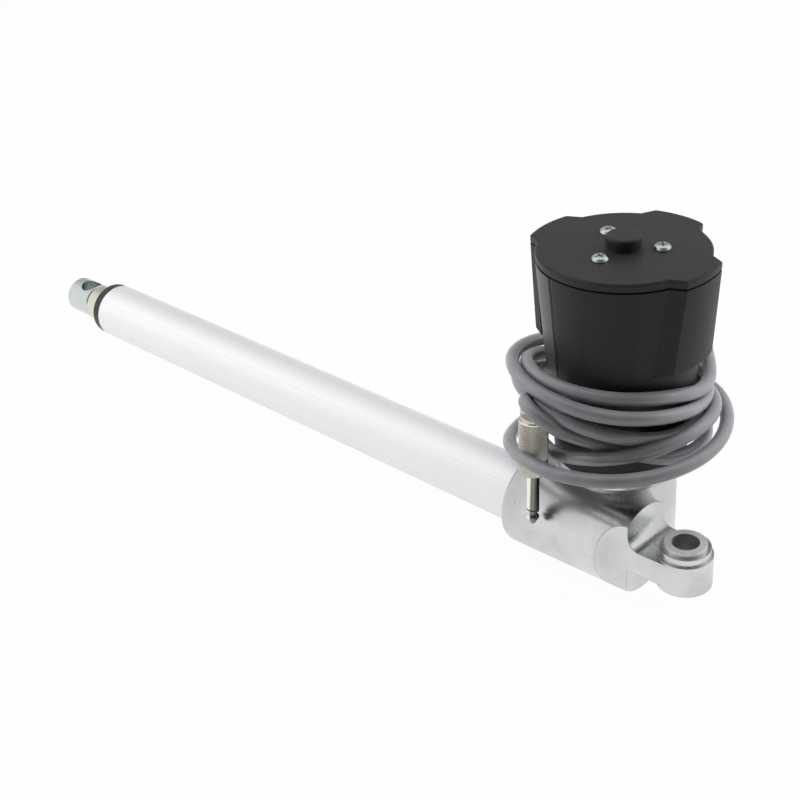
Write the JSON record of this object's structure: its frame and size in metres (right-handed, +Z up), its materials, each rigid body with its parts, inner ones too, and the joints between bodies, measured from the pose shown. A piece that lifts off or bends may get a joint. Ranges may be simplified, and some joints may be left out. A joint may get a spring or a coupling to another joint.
{
  "type": "electric linear actuator",
  "caption": "Electric linear actuator: upright motor on a die-cast worm gear housing with rear eye, long aluminium tube, sliding rod with cross bore, and a coiled cable with jack plug.",
  "frame": {"origin": "axis of the rear eye at the height of the spindle axis", "axes": "+X along the tube towards the rod end, +Z up along the motor axis and both pin bores"},
  "size_m": [0.5197, 0.1233, 0.1774],
  "materials": {
    "cast_aluminium": "die-cast, satin, bare",
    "anodised_aluminium": "satin, clear anodised",
    "black_plastic": "fine moulded grain",
    "black_ring": "smooth moulded",
    "bright_zinc": "blue-bright zinc plated",
    "chromate_steel": "yellow chromate over zinc",
    "plain_steel": "ground",
    "bearing_steel": "polished",
    "bronze": "sintered",
    "copper": "enamelled wire and bars",
    "gear_nylon": "moulded",
    "ferrite": "sintered, dull",
    "carbon": "pressed carbon",
    "phenolic": "laminate board",
    "seal_rubber": "moulded rubber",
    "grey_cable": "smooth cable sheath, semi-matte",
    "nickel": "nickel plated",
    "cream_collar": "smooth moulded",
    "plug_insulation": "smooth moulded"
  },
  "bodies": {
    "housing": {"gear_housing": "cast_aluminium", "eye_bush": "plain_steel", "outer_tube": "anodised_aluminium", "tube_collar": "black_plastic", "end_cap": "black_ring", "rod_wiper": "seal_rubber", "bearing_outer_race": "bearing_steel", "motor_front_plate": "bright_zinc", "plate_screws": "bright_zinc", "motor_can": "bright_zinc", "rear_bush": "bronze", "upper_worm_bearing": "bronze", "lower_worm_bearing": "bronze", "motor_magnets": "ferrite", "motor_brushes": "carbon", "brush_plate": "phenolic", "motor_cover": "black_plastic", "duct_panel": "black_plastic", "motor_lid": "black_plastic", "lid_screws": "bright_zinc", "cable_gland": "seal_rubber", "gland_lead": "grey_cable", "cable_coil": "grey_cable", "plug_lead": "grey_cable", "plug_cap": "nickel", "plug_shell": "nickel", "plug_collar": "cream_collar", "plug_sleeve": "nickel", "plug_insulator": "plug_insulation", "plug_tip": "nickel"},
    "rod": {"rod_tube": "chromate_steel", "rod_end": "bright_zinc", "spindle_nut": "bronze"},
    "spindle": {"spindle": "plain_steel", "worm_wheel": "gear_nylon", "clamp_nut": "bright_zinc", "spindle_stop": "plain_steel", "bearing_inner_race": "bearing_steel"},
    "bearing_cage": {"bearing_cage": "bronze", "bearing_balls": "bearing_steel"},
    "rotor": {"worm_shaft": "plain_steel", "armature_core": "plain_steel", "armature_winding": "copper", "commutator": "copper"}
  },
  "joints": [
    {"name": "motor_spin", "type": "hinge", "parent": "housing", "child": "rotor", "pos_m": [0.057, -0.024, 0], "axis": [0, 0, -1], "range_deg": [0, 432000]},
    {"name": "spindle_spin", "type": "hinge", "parent": "housing", "child": "spindle", "pos_m": [0.057, 0, 0], "axis": [-1, 0, 0], "range_deg": [0, 18000]},
    {"name": "cage_spin", "type": "hinge", "parent": "housing", "child": "bearing_cage", "pos_m": [0.038, 0, 0], "axis": [-1, 0, 0], "range_deg": [0, 6930]},
    {"name": "rod_slide", "type": "slide", "parent": "housing", "child": "rod", "axis": [1, 0, 0], "range_m": [0, 0.3]}
  ],
  "couplings": [
    {"joint": "spindle_spin", "follows": "motor_spin", "ratio": 0.041667},
    {"joint": "cage_spin", "follows": "motor_spin", "ratio": 0.016042},
    {"joint": "rod_slide", "follows": "motor_spin", "m_per_rad": 0.000039789}
  ]
}
